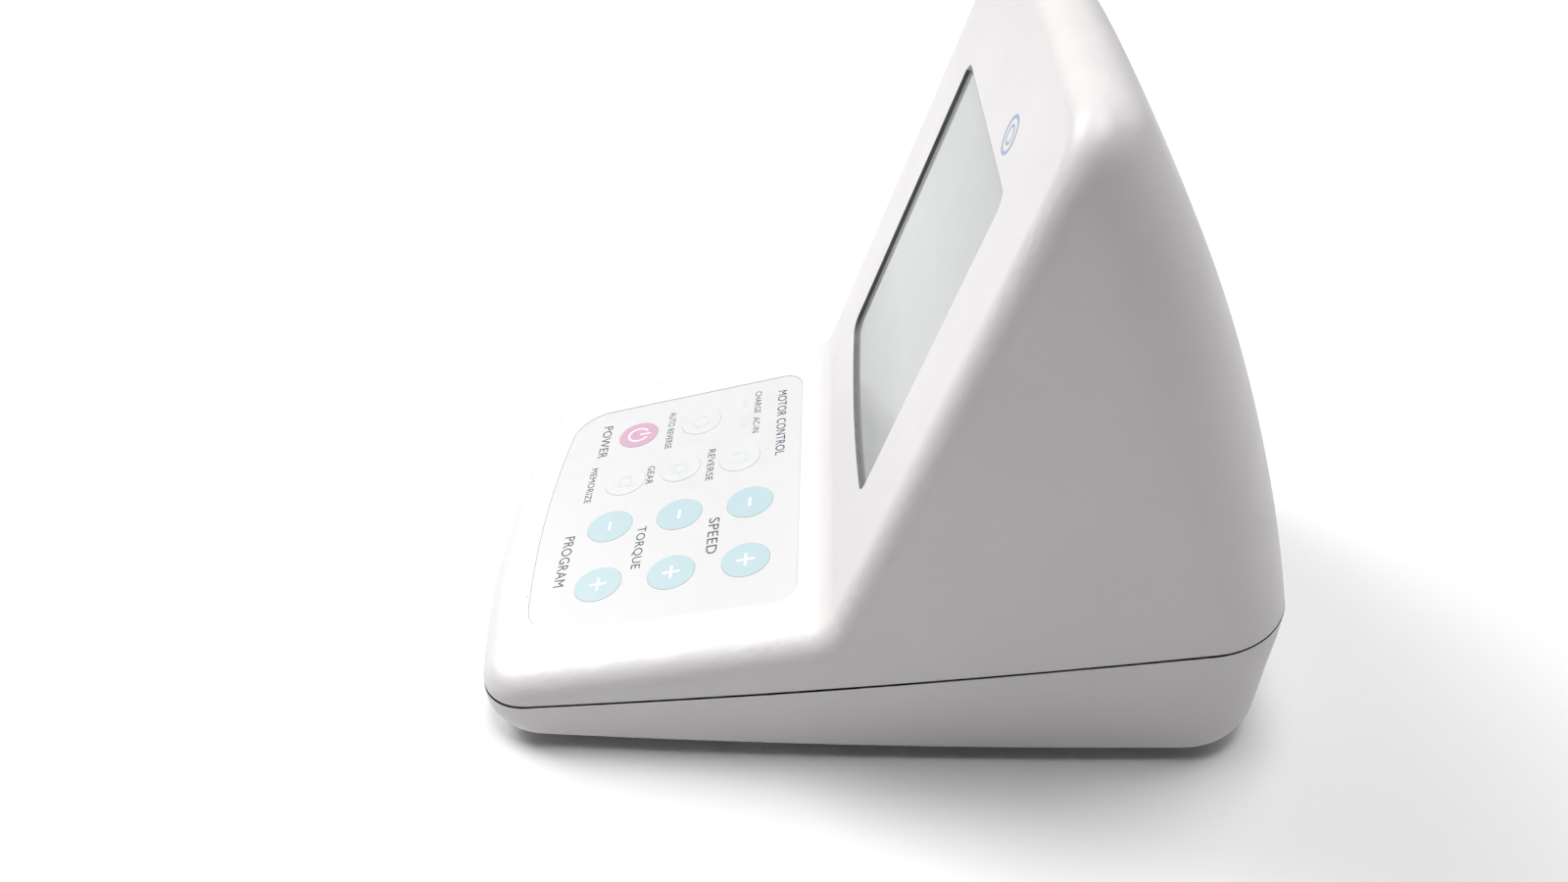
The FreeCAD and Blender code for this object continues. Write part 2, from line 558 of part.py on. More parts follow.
# ---------------------------------------------------------------- electronics and power
def make_main_board():
    """Write the main board and the parts soldered to it."""
    top = MAIN_PCB_Z + PCB_T
    board = rounded_block(-38, 38, 16, 62, MAIN_PCB_Z, top, 2.0)
    board = board.cut([rod(1.6, Vector(x, y, 30), Vector(x, y, 50)) for x, y in POSTS])
    save("main_board", board)
    screw = pan_screw(2.6, 1.8, 1.15, 7.0)
    screw.rotate(Vector(0, 0, 0), Vector(1, 0, 0), 180)
    save("main_board_screws", group(placed(screw, Vector(x, y, top)) for x, y in POSTS))
    save("motor_driver", box(-25, -13, 31, 43, top, top + 2.2))
    base = box(-28, -10, 28, 46, top + 2.2, top + 4.4)
    fins = [box(-28 + 3.36 * k, -26.8 + 3.36 * k, 28, 46, top + 4.4, top + 14) for k in range(6)]
    save("heat_sink", base.fuse(fins).removeSplitter())
    save("control_chip", box(4, 16, 30, 42, top, top + 1.4))
    cans = [rod(4.0, Vector(27, y, top), Vector(27, y, top + 11)) for y in (26, 36, 46)]
    save("capacitors", group(fillet_edges(c, 0.5, lambda e: e.BoundBox.ZMin > top + 10.9) for c in cans))
    buzzer = rod(6.0, Vector(-25, 53, top), Vector(-25, 53, top + 7.0))
    save("buzzer", buzzer.cut(rod(1.0, Vector(-25, 53, top + 4.0), Vector(-25, 53, top + 8))))
    sockets = [box(25, 31, 17, 20, top, top + 4), box(-8, 8, 17, 20, top, top + 4)]
    deck_low, face_low = DECK_PCB_TOP - PCB_T, DISPLAY_PCB_TOP - PCB_T
    sockets.append(on_deck(box(25, 31, 8, 12, deck_low - 2.5, deck_low)))
    sockets.append(on_face(box(-8, 8, 22, 26, face_low - 2.5, face_low)))
    save("ribbon_connectors", group(sockets))


def ribbon(points, x0, x1):
    """Return a flat cable whose middle follows (y, z) points."""
    path = [Vector(0, y, z) for y, z in points]
    offset = []
    for side in (1, -1):
        line = []
        for i, p in enumerate(path):
            before = (p - path[i - 1]).normalize() if i else None
            after = (path[i + 1] - p).normalize() if i + 1 < len(path) else None
            d = ((before or after) + (after or before)).normalize()
            n = Vector(0, -d.z, d.y)
            along = after or before
            square = abs(Vector(0, -along.z, along.y).dot(n))
            line.append(p + n * (side * RIBBON_T / 2 / square))
        offset.append(line)
    loop = offset[0] + offset[1][::-1]
    face = Part.Face(Part.makePolygon(loop + [loop[0]]))
    face.translate(Vector(x0, 0, 0))
    return face.extrude(Vector(x1 - x0, 0, 0))


def make_ribbons():
    """Write the two flat cables from the keypad and display boards to the main board."""
    plug_top = MAIN_PCB_Z + PCB_T + 4.05
    keypad_run = [
        (-25.24, 16.07), (-13.5, 18.9), (-8.5, 21.4), (-4.0, 25.7), (2.0, 30.5), (9.0, 33.2), (12.4, 35.6),
        (13.8, 39.0), (14.2, 43.6), (15.6, 46.6), (17.6, 47.3), (18.5, 46.7), (18.6, plug_top),
    ]
    save("keypad_ribbon", ribbon(keypad_run, 25.5, 30.5))
    display_run = [(13.52, 48.17), (15.4, 47.52), (17.4, 47.2), (18.4, 46.6), (18.5, plug_top)]
    save("display_ribbon", ribbon(display_run, -7.0, 7.0))


def wire_tube(points, radius, bend):
    """Return a round wire along straight runs joined by tangent arcs."""
    edges = []
    start = points[0]
    for i in range(1, len(points) - 1):
        p = points[i]
        a = (points[i - 1] - p).normalize()
        b = (points[i + 1] - p).normalize()
        half = math.acos(max(-1.0, min(1.0, a.dot(b)))) / 2
        reach = bend / math.tan(half)
        first, last = p + a * reach, p + b * reach
        centre = p + (a + b).normalize() * (bend / math.sin(half))
        mid = centre + (p - centre).normalize() * bend
        edges += [Part.makeLine(start, first), Part.Arc(first, mid, last).toShape()]
        start = last
    edges.append(Part.makeLine(start, points[-1]))
    direction = (points[1] - points[0]).normalize()
    profile = Part.Wire(Part.Circle(points[0], direction, radius).toShape())
    return Part.Wire(edges).makePipeShell([profile], True, False)


def make_power():
    """Write the battery, its straps, leads and connector."""
    columns = [CELL_FIRST_Y + CELL_PITCH * k for k in range(4)]
    rest = BOTTOM_Z + WALL + 0.6
    rows = [rest + CELL_R, rest + 3 * CELL_R + 0.5]
    half = CELL_L / 2
    cells = [rod(CELL_R, Vector(-half, y, z), Vector(half, y, z)) for z in rows for y in columns]
    cells = [fillet_edges(c, 0.6, lambda e: e.Length > 1.8 * math.pi * CELL_R) for c in cells]
    save("battery_cells", group(cells))
    straps = []
    for k in range(3):
        z = rows[k % 2]
        straps.append(box(half, half + STRAP_T, columns[k] - 2, columns[k + 1] + 2, z - 2.5, z + 2.5))
    for y in columns:
        straps.append(box(-half - STRAP_T, -half, y - 2.5, y + 2.5, rows[0] - 2, rows[1] + 2))
    save("cell_straps", group(straps))
    save("battery_connector", box(29, 35, 41, 49, MAIN_PCB_Z - 6, MAIN_PCB_Z))
    leads = []
    for y, z in ((43.0, rows[1] + 1.5), (47.0, rows[1] - 1.5)):
        points = [Vector(half + 0.3, y, z), Vector(half + 7.2, y, z), Vector(half + 7.2, y, MAIN_PCB_Z - 6)]
        leads.append(wire_tube(points, 0.7, 2.5))
    save("battery_leads", group(leads))


def rear_bar(x, rise, radius, y0, y1):
    """Return a round bar square to the socket panel, rise above the sockets' height."""
    return rod(radius, Vector(x, y0, SOCKET_Z + rise), Vector(x, y1, SOCKET_Z + rise))


def make_sockets():
    """Write the motor cord socket and the power jack in the rear pocket."""
    x = MOTOR_SOCKET_X
    inside = PANEL_Y - WALL
    shell = rear_bar(x, 0.0, SOCKET_R, 52, SOCKET_FRONT_Y).fuse(rear_bar(x, 0.0, 7.2, 59.5, inside))
    shell = shell.removeSplitter()
    bores = [rear_bar(x, 0.0, SOCKET_BORE_R, SOCKET_STEP_Y, 72), rear_bar(x, 0.0, 4.2, 50, 65)]
    save("motor_socket", shell.cut(bores))
    angles = [math.radians(60 * k) for k in range(7)]
    hexagon = [Vector(x + 8.2 * math.cos(a), PANEL_Y, SOCKET_Z + 8.2 * math.sin(a)) for a in angles]
    nut = Part.Face(Part.makePolygon(hexagon)).extrude(Vector(0, 2.4, 0))
    save("motor_socket_nut", nut.cut(rear_bar(x, 0.0, SOCKET_R + 0.02, 60, 72)))
    insert = rear_bar(x, 0.0, 4.15, 53, SOCKET_STEP_Y)
    spots = [(dx, dz) for dx in (-1.8, 1.8) for dz in (-1.8, 1.8)]
    insert = insert.cut([rear_bar(x + dx, dz, 0.55, 52, 65) for dx, dz in spots])
    save("motor_socket_insert", insert)
    save("motor_socket_contacts", group(rear_bar(x + dx, dz, 0.5, 50, 61) for dx, dz in spots))
    x = DC_JACK_X
    body = box(x - 5.2, x + 5.2, 50, inside, MAIN_PCB_Z + PCB_T, SOCKET_Z + 5.2)
    body = body.fuse(rear_bar(x, 0.0, JACK_R, 60, 68.5)).removeSplitter()
    save("power_jack", body.cut(rear_bar(x, 0.0, JACK_BORE_R, 56, 70)))
    save("power_jack_pin", rear_bar(x, 0.0, JACK_PIN_R, 56, 67.5))


# ---------------------------------------------------------------- build
def main():
    """Build every node."""
    outer = tall_body(0.0, ROOF_ROUND, SKIN_ROUND)
    inner = tall_body(WALL, ROOF_ROUND - WALL, 0.0)
    save("upper_case", make_upper_case(outer, inner))
    save("lower_case", make_lower_case())
    save("battery_cover", make_battery_cover())
    cover_screw = pan_screw(2.2, 1.4, 1.2, 5.5)
    save("battery_cover_screw", placed(cover_screw, Vector(0, COVER_SCREW_Y, BOTTOM_Z + 0.9)))
    screws = []
    for x, y in CASE_SCREWS:
        length = 12.0 if y > 0 else 6.8
        screw = pan_screw(2.8, 2.0, CASE_SCREW_R, length)
        screws.append(placed(screw, Vector(x, y, parting_z(y) - 3.5)))
    save("case_screws", group(screws))
    feet = []
    for x, y in FEET:
        foot = rod(FOOT_R, Vector(x, y, 0), Vector(x, y, BOTTOM_Z + FOOT_SET))
        feet.append(fillet_edges(foot, 0.7, lambda e: e.BoundBox.ZMax < 0.01))
    save("rubber_feet", group(feet))
    make_keypad()
    make_display()
    make_main_board()
    make_ribbons()
    make_power()
    make_sockets()
    for name, shape in NODES.items():
        print(name, len(shape.Solids), round(shape.Volume, 1), "valid" if shape.isValid() else "NOT VALID")


main()
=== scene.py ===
"""Looks of a tabletop motor control unit: case, keypad, display, sockets and the parts inside.

Lengths are in metres.  +X is the user's right, +Y points to the rear and +Z is up.
"""

import json
import logging
import math
from dataclasses import dataclass, field
from enum import Enum

import bmesh
import bpy
from mathutils import Matrix, Vector

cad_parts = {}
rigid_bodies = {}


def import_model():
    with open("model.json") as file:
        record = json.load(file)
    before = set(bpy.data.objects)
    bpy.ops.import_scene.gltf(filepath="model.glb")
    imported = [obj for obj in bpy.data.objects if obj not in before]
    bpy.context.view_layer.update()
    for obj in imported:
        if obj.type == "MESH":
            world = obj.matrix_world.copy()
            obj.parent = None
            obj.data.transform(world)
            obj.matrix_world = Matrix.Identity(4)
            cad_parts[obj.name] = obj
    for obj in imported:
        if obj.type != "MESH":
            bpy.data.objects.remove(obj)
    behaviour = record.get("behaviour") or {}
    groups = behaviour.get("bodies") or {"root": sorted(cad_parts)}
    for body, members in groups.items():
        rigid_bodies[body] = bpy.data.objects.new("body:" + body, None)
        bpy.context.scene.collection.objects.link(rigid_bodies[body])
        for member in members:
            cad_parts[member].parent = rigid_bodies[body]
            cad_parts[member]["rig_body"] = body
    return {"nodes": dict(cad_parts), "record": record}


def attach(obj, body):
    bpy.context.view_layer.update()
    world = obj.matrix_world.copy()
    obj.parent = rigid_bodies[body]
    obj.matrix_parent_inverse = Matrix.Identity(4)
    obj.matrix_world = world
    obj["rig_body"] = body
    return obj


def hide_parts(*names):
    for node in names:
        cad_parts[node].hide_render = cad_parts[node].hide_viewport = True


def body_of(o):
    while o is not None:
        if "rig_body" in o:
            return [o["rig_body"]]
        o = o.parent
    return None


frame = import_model()

MM = 0.001
LOG = logging.getLogger("control_unit")


# ---------------------------------------------------------------- shader helpers
class Shader:
    """A material under construction, with its nodes laid out from left to right."""

    def __init__(self, name: str) -> None:
        """Start an empty material.

        Args:
            name: the material's name.
        """
        self.material = bpy.data.materials.new(name)
        self.material.use_nodes = True
        self.tree = self.material.node_tree
        self.tree.nodes.clear()
        self.output = self.tree.nodes.new("ShaderNodeOutputMaterial")
        self.surface = self.tree.nodes.new("ShaderNodeBsdfPrincipled")
        self.join(self.surface.outputs["BSDF"], self.output.inputs["Surface"])
        self.place = self.tree.nodes.new("ShaderNodeTexCoord").outputs["Object"]

    def join(self, source: bpy.types.NodeSocket, target: bpy.types.NodeSocket) -> None:
        """Link an output socket to an input socket."""
        self.tree.links.new(source, target)

    def set(self, **values: object) -> None:
        """Set sockets on the surface shader.

        Args:
            values: socket names with underscores for spaces, and their values.
        """
        for name, value in values.items():
            self.surface.inputs[name.replace("_", " ")].default_value = value

    def noise(self, size: float, detail: float = 3.0,
              stretch: tuple = (1.0, 1.0, 1.0)) -> bpy.types.NodeSocket:
        """Add a noise pattern.

        Args:
            size: rough size of its blotches.
            detail: number of finer octaves.
            stretch: how far the pattern is squeezed along each axis.

        Returns:
            The factor output, around a half.
        """
        mapping = self.tree.nodes.new("ShaderNodeMapping")
        mapping.inputs["Scale"].default_value = stretch
        self.join(self.place, mapping.inputs["Vector"])
        node = self.tree.nodes.new("ShaderNodeTexNoise")
        node.inputs["Scale"].default_value = 1.0 / size
        node.inputs["Detail"].default_value = detail
        self.join(mapping.outputs["Vector"], node.inputs["Vector"])
        return node.outputs["Fac"]

    def cells(self, size: float) -> bpy.types.NodeSocket:
        """Add scattered cells and return the distance from each cell's centre, in cells."""
        node = self.tree.nodes.new("ShaderNodeTexVoronoi")
        node.inputs["Scale"].default_value = 1.0 / size
        self.join(self.place, node.inputs["Vector"])
        return node.outputs["Distance"]

    def remap(self, source: bpy.types.NodeSocket, low: float, high: float,
              to_low: float, to_high: float) -> bpy.types.NodeSocket:
        """Map a range of values onto another.

        Args:
            source: the value to map.
            low: start of its range.
            high: end of its range.
            to_low: value given at low.
            to_high: value given at high.

        Returns:
            The mapped value's output socket.
        """
        node = self.tree.nodes.new("ShaderNodeMapRange")
        for name, value in (("From Min", low), ("From Max", high), ("To Min", to_low), ("To Max", to_high)):
            node.inputs[name].default_value = value
        self.join(source, node.inputs["Value"])
        return node.outputs["Result"]

    def mix(self, factor: bpy.types.NodeSocket, first: tuple, second: tuple,
            under: bpy.types.NodeSocket | None = None) -> bpy.types.NodeSocket:
        """Mix two colours.

        Args:
            factor: how much of the second colour shows.
            first: the first colour, unless under is given.
            second: the second colour.
            under: a colour output that takes the first colour's place.

        Returns:
            The mixed colour's output socket.
        """
        node = self.tree.nodes.new("ShaderNodeMix")
        node.data_type = "RGBA"
        self.join(factor, node.inputs[0])
        node.inputs[6].default_value = (*first, 1.0)
        node.inputs[7].default_value = (*second, 1.0)
        if under is not None:
            self.join(under, node.inputs[6])
        return node.outputs[2]

    def bump(self, height: bpy.types.NodeSocket, depth: float, strength: float = 1.0) -> None:
        """Raise the surface by a pattern.

        Args:
            height: the pattern.
            depth: its full height.
            strength: how strongly it shows.
        """
        node = self.tree.nodes.new("ShaderNodeBump")
        node.inputs["Strength"].default_value = strength
        node.inputs["Distance"].default_value = depth
        self.join(height, node.inputs["Height"])
        self.join(node.outputs["Normal"], self.surface.inputs["Normal"])


def darker(colour: tuple, share: float) -> tuple:
    """Return the colour scaled by a share."""
    return tuple(c * share for c in colour)


# ---------------------------------------------------------------- finishes
@dataclass(frozen=True)
class Moulding:
    """Injection moulded plastic with a fine sparked grain, faint shading and a few specks of dirt."""

    name: str
    colour: tuple
    gloss: float = 0.42
    grain: float = 0.45 * MM
    grain_depth: float = 0.012 * MM
    specks: bool = False

    def make(self) -> bpy.types.Material:
        """Return the material."""
        shader = Shader(self.name)
        shader.set(IOR=1.49)
        shade = shader.remap(shader.noise(26 * MM, 2.0), 0.3, 0.7, 0.0, 1.0)
        colour = shader.mix(shade, darker(self.colour, 0.975), self.colour)
        if self.specks:
            dirt = shader.remap(shader.cells(19 * MM), 0.008, 0.016, 1.0, 0.0)
            colour = shader.mix(dirt, self.colour, (0.42, 0.40, 0.38), under=colour)
        shader.join(colour, shader.surface.inputs["Base Color"])
        rub = shader.remap(shader.noise(9 * MM, 4.0), 0.3, 0.7, self.gloss - 0.05, self.gloss + 0.06)
        shader.join(rub, shader.surface.inputs["Roughness"])
        shader.bump(shader.noise(self.grain, 2.0), self.grain_depth, 0.6)
        return shader.material


@dataclass(frozen=True)
class PrintedFilm:
    """Matt polyester film, printed on its back, with a soft orange-peel surface."""

    name: str
    colour: tuple
    wear: tuple = (0.90, 0.91, 0.91)

    def make(self) -> bpy.types.Material:
        """Return the material."""
        shader = Shader(self.name)
        shader.set(IOR=1.55)
        fade = shader.remap(shader.noise(7 * MM, 3.0), 0.35, 0.75, 0.0, 0.16)
        colour = shader.mix(fade, self.colour, self.wear)
        shader.join(colour, shader.surface.inputs["Base Color"])
        rub = shader.remap(shader.noise(4 * MM, 3.0), 0.3, 0.7, 0.34, 0.46)
        shader.join(rub, shader.surface.inputs["Roughness"])
        shader.bump(shader.noise(0.6 * MM, 2.0), 0.006 * MM, 0.5)
        return shader.material


@dataclass(frozen=True)
class Ink:
    """Screen-printed ink, slightly uneven in density."""

    name: str
    colour: tuple
    thin: float = 0.25

    def make(self) -> bpy.types.Material:
        """Return the material."""
        shader = Shader(self.name)
        shader.set(Roughness=0.5, IOR=1.5)
        patch = shader.remap(shader.noise(0.5 * MM, 3.0), 0.4, 0.75, 0.0, self.thin)
        light = tuple(min(1.0, c + 0.25) for c in self.colour)
        shader.join(shader.mix(patch, self.colour, light), shader.surface.inputs["Base Color"])
        return shader.material


@dataclass(frozen=True)
class DisplayPanel:
    """Clear hard sheet bonded over an unlit, pale grey-green reflective panel, its colour darkened towards
    the foot by a painted reflection of the deck and towards the top by painted shade.
    """

    name: str
    colour: tuple
    low: float
    high: float
    foot_painted_reflection: float = 0.62
    head_painted_shade: float = 0.80
    head_start: float = 12 * MM
    head_end: float = 40 * MM

    def make(self) -> bpy.types.Material:
        """Return the material."""
        shader = Shader(self.name)
        shader.set(IOR=1.5, Coat_Weight=0.25, Coat_Roughness=0.04)
        split = shader.tree.nodes.new("ShaderNodeSeparateXYZ")
        shader.join(shader.place, split.inputs[0])
        # Painted reflection of the deck: the colour darkens towards the foot, below high.
        rise = shader.remap(split.outputs["Z"], self.low, self.high, 0.0, 1.0)
        base = shader.mix(rise, darker(self.colour, self.foot_painted_reflection), self.colour)
        # Painted shade: the colour darkens again towards the top, above high plus head_start.
        head = shader.remap(split.outputs["Z"], self.high + self.head_start,
                            self.high + self.head_end, 0.0, 1.0)
        base = shader.mix(head, self.colour, darker(self.colour, self.head_painted_shade), under=base)
        haze = shader.remap(shader.noise(24 * MM, 1.0), 0.3, 0.7, 0.0, 0.05)
        base = shader.mix(haze, self.colour, (0.60, 0.62, 0.62), under=base)
        shader.join(base, shader.surface.inputs["Base Color"])
        smear = shader.remap(shader.noise(6 * MM, 4.0, (1.0, 0.3, 0.3)), 0.35, 0.8, 0.10, 0.20)
        shader.join(smear, shader.surface.inputs["Roughness"])
        shader.bump(shader.noise(20 * MM, 1.0), 0.01 * MM, 0.3)
        return shader.material


@dataclass(frozen=True)
class MattRubberAndShade:
    """Matt rubber with a dusty bloom; the same matt finish, near-black or dark grey, also paints shade in
    the case groove and the display opening.
    """

    name: str
    colour: tuple

    def make(self) -> bpy.types.Material:
        """Return the material."""
        shader = Shader(self.name)
        shader.set(Roughness=0.85, IOR=1.5)
        dust = shader.remap(shader.noise(3 * MM, 4.0), 0.45, 0.75, 0.0, 0.3)
        shader.join(shader.mix(dust, self.colour, (0.30, 0.29, 0.28)), shader.surface.inputs["Base Color"])
        shader.bump(shader.noise(0.3 * MM, 3.0), 0.02 * MM, 0.7)
        return shader.material


@dataclass(frozen=True)
class Plated:
    """Plated or rolled metal with fine drawn lines."""

    name: str
    colour: tuple
    polish: float = 0.28
    stretch: tuple = (1.0, 1.0, 12.0)

    def make(self) -> bpy.types.Material:
        """Return the material."""
        shader = Shader(self.name)
        shader.set(Metallic=1.0)
        tone = shader.remap(shader.noise(2.5 * MM, 3.0), 0.3, 0.7, 0.0, 1.0)
        shader.join(shader.mix(tone, darker(self.colour, 0.86), self.colour),
                    shader.surface.inputs["Base Color"])
        lines = shader.noise(0.8 * MM, 4.0, self.stretch)
        rub = shader.remap(lines, 0.3, 0.7, self.polish - 0.08, self.polish + 0.12)
        shader.join(rub, shader.surface.inputs["Roughness"])
        shader.bump(lines, 0.004 * MM, 0.5)
        return shader.material


@dataclass(frozen=True)
class CircuitBoard:
    """Solder mask over copper tracks and glass weave."""

    name: str
    colour: tuple

    def make(self) -> bpy.types.Material:
        """Return the material."""
        shader = Shader(self.name)
        shader.set(IOR=1.5)
        tracks = shader.tree.nodes.new("ShaderNodeTexBrick")
        tracks.inputs["Scale"].default_value = 110.0
        tracks.inputs["Mortar Size"].default_value = 0.06
        shader.join(shader.place, tracks.inputs["Vector"])
        bare = shader.remap(tracks.outputs["Fac"], 0.0, 1.0, 0.0, 0.8)
        pale = tuple(min(1.0, c * 1.7 + 0.02) for c in self.colour)
        shader.join(shader.mix(bare, self.colour, pale), shader.surface.inputs["Base Color"])
        weave = shader.noise(0.35 * MM, 2.0)
        shader.join(shader.remap(weave, 0.3, 0.7, 0.28, 0.42), shader.surface.inputs["Roughness"])
        shader.bump(tracks.outputs["Fac"], 0.03 * MM, 0.6)
        return shader.material


@dataclass(frozen=True)
class ClearPlastic:
    """Water-clear plastic of light pipes and lamps, faintly milky inside."""

    name: str
    colour: tuple

    def make(self) -> bpy.types.Material:
        """Return the material."""
        shader = Shader(self.name)
        shader.set(IOR=1.49, Transmission_Weight=0.5)
        milk = shader.remap(shader.noise(1.5 * MM, 2.0), 0.3, 0.7, 0.0, 1.0)
        shader.join(shader.mix(milk, darker(self.colour, 0.93), self.colour),
                    shader.surface.inputs["Base Color"])
        shader.join(shader.remap(shader.noise(0.9 * MM, 2.0), 0.3, 0.7, 0.12, 0.25),
                    shader.surface.inputs["Roughness"])
        return shader.material


@dataclass(frozen=True)
class FloorPaint:
    """Plain pale table top."""

    name: str
    colour: tuple

    def make(self) -> bpy.types.Material:
        """Return the material."""
        shader = Shader(self.name)
        shader.set(Roughness=0.7, IOR=1.3)
        tone = shader.remap(shader.noise(0.25, 2.0), 0.3, 0.7, 0.0, 1.0)
        shader.join(shader.mix(tone, darker(self.colour, 0.985), self.colour),
                    shader.surface.inputs["Base Color"])
        return shader.material


# Painted shade: a near-black matt finish on the groove walls between the case halves, where the shadow
# falls.
SHADOWED = MattRubberAndShade("shadowed_gap", (0.012, 0.010, 0.010))
# Painted shade: a dark grey matt finish for a liner on the wall of the display opening, where the shade
# falls.
OPENING_SHADE = MattRubberAndShade("opening_shade", (0.16, 0.16, 0.165))
FINISHES: dict[str, object] = {
    "case_white": Moulding("case_white", (0.70, 0.683, 0.68), specks=True),
    "film_white": PrintedFilm("film_white", (0.615, 0.62, 0.615), (0.66, 0.66, 0.66)),
    "key_blue": PrintedFilm("key_blue", (0.415, 0.545, 0.58), (0.49, 0.58, 0.61)),
    "key_pink": PrintedFilm("key_pink", (0.545, 0.325, 0.43), (0.58, 0.42, 0.50)),
    "key_soft": PrintedFilm("key_soft", (0.62, 0.625, 0.62), (0.66, 0.66, 0.66)),
    "foot_rubber": MattRubberAndShade("foot_rubber", (0.10, 0.10, 0.11)),
    "screw_steel": Plated("screw_steel", (0.56, 0.56, 0.58)),
    "switch_black": Moulding("switch_black", (0.035, 0.035, 0.04), 0.5),
    "dome_steel": Plated("dome_steel", (0.66, 0.66, 0.67), 0.22),
    "board_green": CircuitBoard("board_green", (0.02, 0.16, 0.07)),
    "lamp_clear": ClearPlastic("lamp_clear", (0.80, 0.86, 0.80)),
    "light_pipe_clear": ClearPlastic("light_pipe_clear", (0.86, 0.88, 0.88)),
    "window_clear": DisplayPanel("window_clear", (0.385, 0.408, 0.402), 0.050, 0.068),
    "gasket_dark": MattRubberAndShade("gasket_dark", (0.09, 0.095, 0.095)),
    "bezel_dark": Moulding("bezel_dark", (0.07, 0.073, 0.073), 0.55),
    "display_grey": DisplayPanel("display_grey", (0.50, 0.54, 0.53), 0.045, 0.075),
    "backlight_white": Moulding("backlight_white", (0.80, 0.81, 0.81), 0.25),
    "chip_black": Moulding("chip_black", (0.025, 0.025, 0.027), 0.6, 0.2 * MM, 0.02 * MM),
    "heat_sink_aluminium": Plated("heat_sink_aluminium", (0.60, 0.61, 0.63), 0.42),
    "can_aluminium": Plated("can_aluminium", (0.70, 0.70, 0.72), 0.3, (1.0, 1.0, 0.1)),
    "connector_cream": Moulding("connector_cream", (0.72, 0.67, 0.55), 0.45),
    "ribbon_grey": Moulding("ribbon_grey", (0.62, 0.62, 0.64), 0.5),
    "cell_wrap": Moulding("cell_wrap", (0.07, 0.22, 0.10), 0.28, 1.2 * MM),
    "strap_nickel": Plated("strap_nickel", (0.66, 0.64, 0.60), 0.3, (1.0, 8.0, 1.0)),
    "lead_red": Moulding("lead_red", (0.42, 0.03, 0.03), 0.42),
    "socket_metal": Plated("socket_metal", (0.64, 0.64, 0.66), 0.2, (1.0, 12.0, 1.0)),
    "socket_black": Moulding("socket_black", (0.03, 0.03, 0.034), 0.4),
    "contact_gold": Plated("contact_gold", (0.80, 0.60, 0.25), 0.2),
}

PRINT = {
    "dark": Ink("ink_dark", (0.045, 0.045, 0.06), 0.1),
    "navy": Ink("ink_navy", (0.02, 0.025, 0.09), 0.1),
    "white": Ink("ink_white", (0.90, 0.90, 0.90), 0.05),
    "faint": Ink("ink_faint", (0.52, 0.585, 0.57), 0.3),
    "pale_blue": Ink("ink_pale_blue", (0.27, 0.34, 0.52), 0.4),
}


# ---------------------------------------------------------------- places and pieces
class SignKind(Enum):
    """The sign printed on a key."""

    PLUS = "plus"
    MINUS = "minus"
    POWER = "power"
    MEMORIZE = "memorize"
    GEAR = "gear"
    REVERSE = "reverse"
    AUTO_REVERSE = "auto_reverse"

    def slot(self) -> str:
        """Return the material slot of a key with this sign."""
        if self is SignKind.POWER:
            return "key_pink"
        return "key_blue" if self in (SignKind.PLUS, SignKind.MINUS) else "key_soft"


@dataclass(frozen=True)
class Slope:
    """A sloping plane of the case: its angle above the table and one point on it."""

    angle: float
    y: float
    z: float

    def matrix(self) -> Matrix:
        """Return the transform from (across, up the slope, above it) to the object's frame."""
        turn = Matrix.Rotation(math.radians(self.angle), 4, "X")
        return Matrix.Translation((0.0, self.y, self.z)) @ turn


DECK = Slope(13.55, -39.22 * MM, 22.58 * MM)
FACE = Slope(70.86, -8.22 * MM, 30.30 * MM)
FILM_TOP = -0.10 * MM
KEY_TOP = -0.05 * MM
INK_THICK = 0.02 * MM


def finish_piece(bm: bmesh.types.BMesh, name: str, body: str, slot: str, material: bpy.types.Material,
                 smooth: float = 35.0) -> bpy.types.Object:
    """Turn a bmesh into a named piece that rides on a body.

    Args:
        bm: the shape, already in place; it is freed here.
        name: the piece's name.
        body: the CAD body that it rides on.
        slot: the record's material slot; not used.
        material: its finish.
        smooth: edges flatter than this angle, in degrees, are shaded smooth.

    Returns:
        The new object.
    """
    bmesh.ops.remove_doubles(bm, verts=bm.verts, dist=0.0005 * MM)
    bmesh.ops.recalc_face_normals(bm, faces=bm.faces)
    mesh = bpy.data.meshes.new(name)
    bm.to_mesh(mesh)
    bm.free()
    mesh.shade_smooth()
    mesh.set_sharp_from_angle(angle=math.radians(smooth))
    mesh.materials.append(material)
    piece = bpy.data.objects.new(name, mesh)
    bpy.context.scene.collection.objects.link(piece)
    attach(piece, body)
    LOG.info("%s: %d faces", name, len(mesh.polygons))
    return piece


def smooth_copy(node: str, name: str, material: bpy.types.Material,
                angle: float) -> bpy.types.Object:
    """Make a merged, smooth-shaded copy of a CAD node that stands for it.

    Args:
        node: the CAD node.
        name: the copy's name.
        material: its finish.
        angle: edges flatter than this, in degrees, are shaded smooth.

    Returns:
        The copy.
    """
    bm = bmesh.new()
    bm.from_mesh(frame["nodes"][node].data)
    bmesh.ops.remove_doubles(bm, verts=bm.verts, dist=0.001 * MM)
    mesh = bpy.data.meshes.new(name)
    bm.to_mesh(mesh)
    bm.free()
    custom = mesh.attributes.get("custom_normal")
    if custom is not None:
        mesh.attributes.remove(custom)
    mesh.shade_smooth()
    mesh.set_sharp_from_angle(angle=math.radians(angle))
    mesh.materials.clear()
    mesh.materials.append(material)
    copy = bpy.data.objects.new(name, mesh)
    bpy.context.scene.collection.objects.link(copy)
    even = copy.modifiers.new("even_shading", "WEIGHTED_NORMAL")
    even.weight = 90
    even.keep_sharp = True
    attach(copy, body_of(frame["nodes"][node])[0])
    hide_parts(node)
    LOG.info("%s: %d faces", name, len(mesh.polygons))
    return copy


